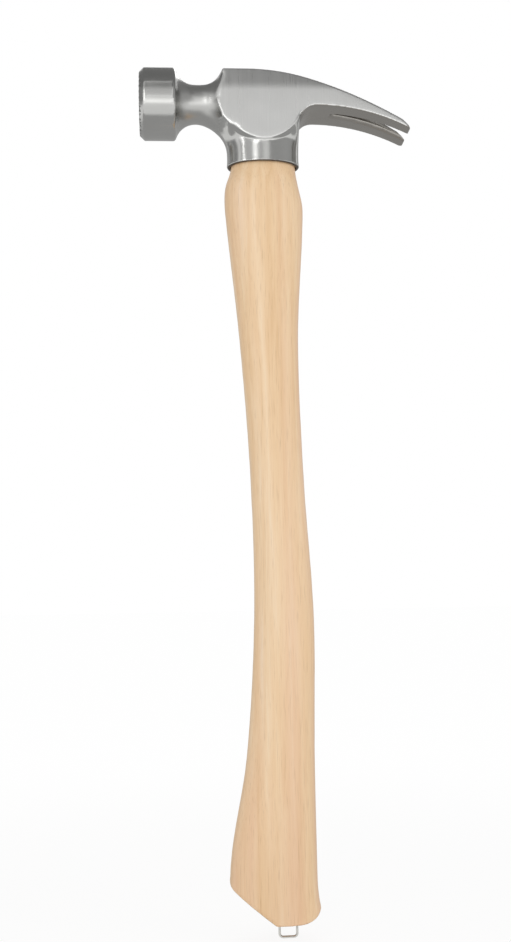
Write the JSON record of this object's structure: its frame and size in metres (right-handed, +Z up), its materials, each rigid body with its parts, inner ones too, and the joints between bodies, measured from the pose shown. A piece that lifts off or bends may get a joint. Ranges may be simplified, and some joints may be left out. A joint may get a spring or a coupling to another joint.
{
  "type": "framing hammer",
  "caption": "Framing hammer with a milled round face, necked poll, flat cheeks and straight split claws on a curved wooden handle wedged into the head's eye, with a wire hang loop at the butt.",
  "frame": {"origin": "centre of the striking face, on the poll's axis", "axes": "+X from the striking face to the claws, +Y across the cheeks, +Z up from the handle's butt to the head"},
  "size_m": [0.15, 0.0394, 0.4713],
  "materials": {
    "forged_steel": "polished poll and socket, ground satin cheeks",
    "hickory": "clear satin lacquer",
    "wedge_wood": "sawn end grain",
    "wedge_steel": "ground flush",
    "wire": "bright drawn wire"
  },
  "bodies": {
    "root": {"head": "forged_steel", "handle": "hickory", "wooden_wedge": "wedge_wood", "steel_wedge_front": "wedge_steel", "steel_wedge_rear": "wedge_steel", "hang_staple": "wire"}
  },
  "joints": []
}
